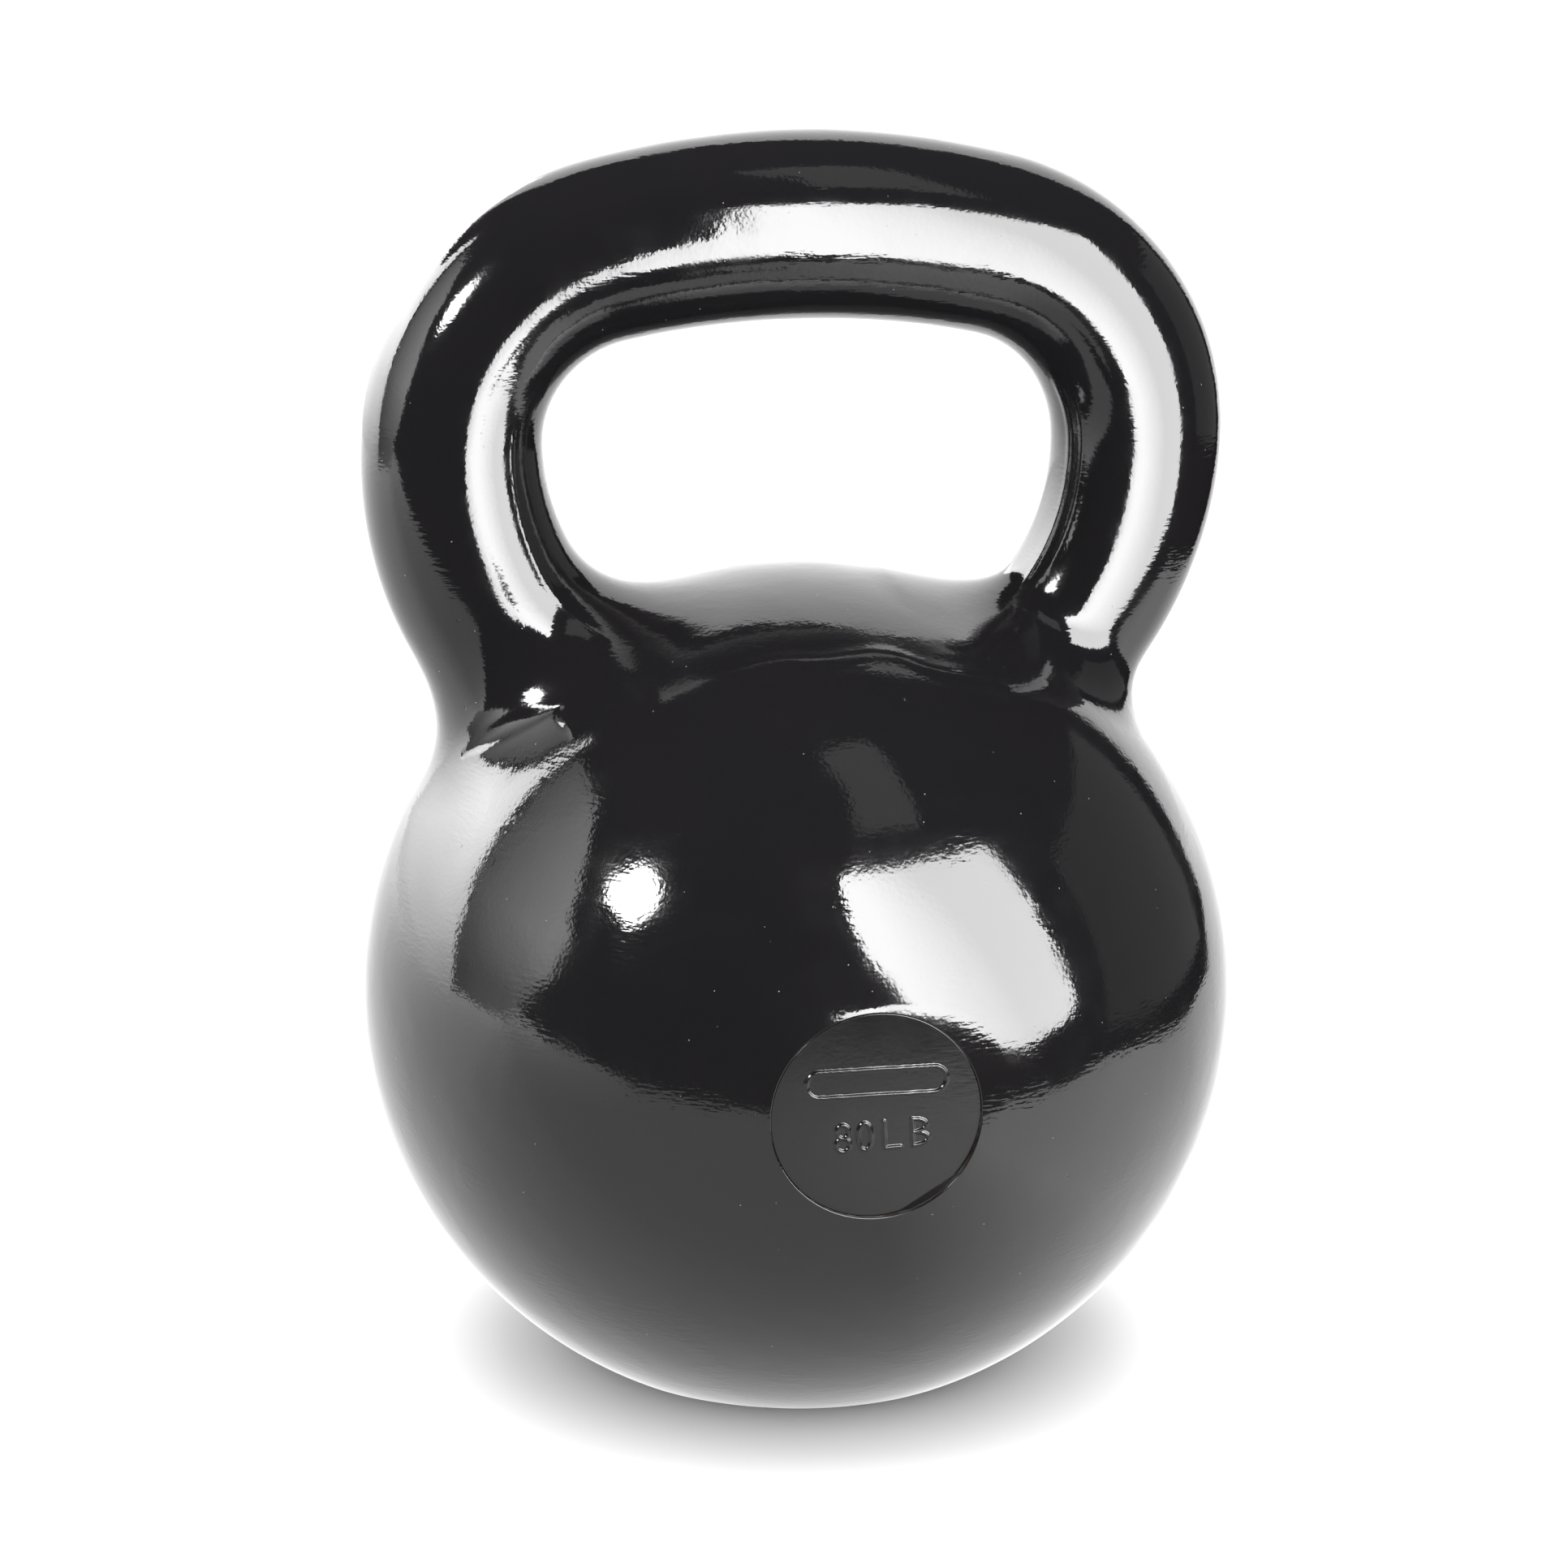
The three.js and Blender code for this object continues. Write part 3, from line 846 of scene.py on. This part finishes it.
# Panels given as directions from the ball's middle, azimuth and elevation in degrees, at one distance: two at
# the left, a dim patch of ceiling above the softbox, a dim wall at the right and a wall behind.
PANELS = {
    "grey_panel": dict(
        outline=((-108, -5), (-88, -5), (-76, 7), (-73.5, 17), (-77, 27), (-82, 37), (-93, 45), (-114, 45)),
        distance=1.6, strength=4.1, fades=(("Y", -0.35, 0.42, 1, 0.26), ("Z", 0.15, 0.5, 0.4, 1)),
    ),
    "left_wall": dict(
        outline=((-175, -8), (-108, -8), (-121, 46), (-124, 46), (-131, 32), (-175, 22)),
        distance=2.0, strength=12, fades=(("Z", 0, 0.8, 0.26, 1), ("X", -1.5, -0.5, 1, 0.5)),
    ),
    "ceiling_patch": dict(
        outline=((10, 78), (18, 66), (17, 54), (40, 51), (46, 58), (52, 66), (62, 75)),
        distance=1.5, strength=0.7,
    ),
    "right_wall": dict(outline=((75, -8), (122, -8), (122, 28), (75, 28)), distance=2.2, strength=0.25),
    "back_wall": dict(outline=((130, -5), (200, -5), (200, 46), (130, 46)), distance=2.5, strength=2.0),
}


def flat_shape(name, corners, material):
    mesh = bpy.data.meshes.new(name)
    mesh.from_pydata(corners, [], [range(len(corners))])
    mesh.materials.append(material)
    shape = bpy.data.objects.new(name, mesh)
    bpy.context.scene.collection.objects.link(shape)
    return shape


def gloss_card(recipe, corners, strength):
    """A lit panel that only shows in the gloss."""
    glow = recipe.add("ShaderNodeEmission", {"Strength": strength})
    recipe.tree.links.new(glow.outputs[0], recipe.tree.nodes["Material Output"].inputs["Surface"])
    card = flat_shape(recipe.material.name, corners, recipe.material)
    card.visible_camera = False
    card.visible_diffuse = False
    card.visible_shadow = False


def light_card(name, corners, strength, fades=()):
    """A gloss card. A fade is an axis, the places on it where the light starts and ends to change, and the
    share of the light at each."""
    recipe = Recipe(name)
    where = recipe.add("ShaderNodeSeparateXYZ", {"Vector": recipe.place})
    for axis, start, end, low, high in fades:
        share = recipe.between(where.outputs[axis], start, end, low, high)
        strength = recipe.maths("MULTIPLY", share, strength)
    gloss_card(recipe, corners, strength)


def floor_glow():
    """The floor in the gloss: dim before the object, brighter at its front right, at the left and behind."""
    recipe = Recipe("floor_glow")
    where = recipe.add("ShaderNodeSeparateXYZ", {"Vector": recipe.place})
    behind = recipe.between(where.outputs["Y"], *FLOOR_BEHIND)
    before = recipe.between(where.outputs["X"], *FLOOR_BEFORE)
    share = recipe.between(where.outputs["Y"], *FLOOR_MEETING)
    near = recipe.add("ShaderNodeMix", {0: share, 2: behind, 3: before}).outputs[0]
    leftward = recipe.between(where.outputs["X"], *FLOOR_LEFTWARD)
    strength = recipe.maths("ADD", near, leftward)
    gloss_card(recipe, [(x, y, FLOOR_GLOW_HEIGHT) for x, y in FLOOR_OUTLINE], strength)


def toward(azimuth, elevation, distance):
    """A point seen from the ball's middle: azimuth from -Y toward +X, both angles in degrees."""
    return Vector(STUDIO_CENTRE) + distance * Vector(direction(azimuth, elevation))


def softbox_corner(x, z):
    """A point of the softbox's plane, which swings back to the right and leans forward as it rises."""
    middle_x, middle_y, middle_z = SOFTBOX_MIDDLE
    return (x, middle_y + SOFTBOX_SWING * (x - middle_x) - SOFTBOX_LEAN * (z - middle_z), z)


def round_lamp():
    centre = toward(*LAMP_DIRECTION, LAMP_DISTANCE)
    turn = (Vector(STUDIO_CENTRE) - centre).to_track_quat("Z", "Y")
    angles = np.linspace(0, 2 * math.pi, LAMP_SIDES, endpoint=False)
    rim = [centre + turn @ Vector((LAMP_RADIUS * math.cos(a), LAMP_RADIUS * math.sin(a), 0)) for a in angles]
    light_card("round_lamp", rim, LAMP_STRENGTH)


def overhead_light():
    """Soft light from above for the floor. The gloss doesn't see it."""
    light = bpy.data.lights.new("overhead", "AREA")
    light.size = OVERHEAD_SIZE
    light.energy = OVERHEAD_POWER
    lamp = bpy.data.objects.new("overhead", light)
    lamp.location = OVERHEAD_PLACE
    lamp.visible_camera = False
    lamp.visible_glossy = False
    bpy.context.scene.collection.objects.link(lamp)


def pale_world():
    """White light from all round, which the gloss doesn't see."""
    world = bpy.data.worlds.new("studio")
    world.use_nodes = True
    background = world.node_tree.nodes["Background"]
    background.inputs["Color"].default_value = (1, 1, 1, 1)
    background.inputs["Strength"].default_value = SKY_STRENGTH
    world.cycles_visibility.glossy = False
    bpy.context.scene.world = world


def set_studio():
    bpy.context.scene.view_settings.view_transform = "Standard"
    corners = [(x * FLOOR_REACH, y * FLOOR_REACH, 0) for x, y in ((-1, -1), (1, -1), (1, 1), (-1, 1))]
    floor = flat_shape("floor", corners, pale_floor())
    floor.visible_glossy = False
    floor_glow()
    softbox = [softbox_corner(x, z) for x, z in SOFTBOX_OUTLINE]
    light_card("softbox", softbox, SOFTBOX_STRENGTH, SOFTBOX_FADES)
    gloss_card(Recipe("black_flag"), [(x, FLAG_PLANE, z) for x, z in FLAG_OUTLINE], 0)
    round_lamp()
    for name, panel in PANELS.items():
        corners = [toward(*corner, panel["distance"]) for corner in panel["outline"]]
        light_card(name, corners, panel["strength"], panel.get("fades", ()))
    overhead_light()
    pale_world()


# ---- The pieces ----
def dress_node(name, material):
    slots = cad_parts[name].data.materials
    slots.clear()
    slots.append(material)


def add_piece(piece, node):
    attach(piece, "root")
    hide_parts(node)


set_camera()
add_piece(enamel_skin(enamel("black_enamel_gloss", 0.0, 1.0)), "enamel_coat")
add_piece(marking_face(enamel("disc_enamel_gloss", 0.08, 0.5)), "marking_disc")
bare_iron, bare_weld = cast_iron(), weld_metal()
dress_node("ball_casting", bare_iron)
dress_node("handle_casting", bare_iron)
dress_node("left_horn_weld", bare_weld)
dress_node("right_horn_weld", bare_weld)
set_studio()
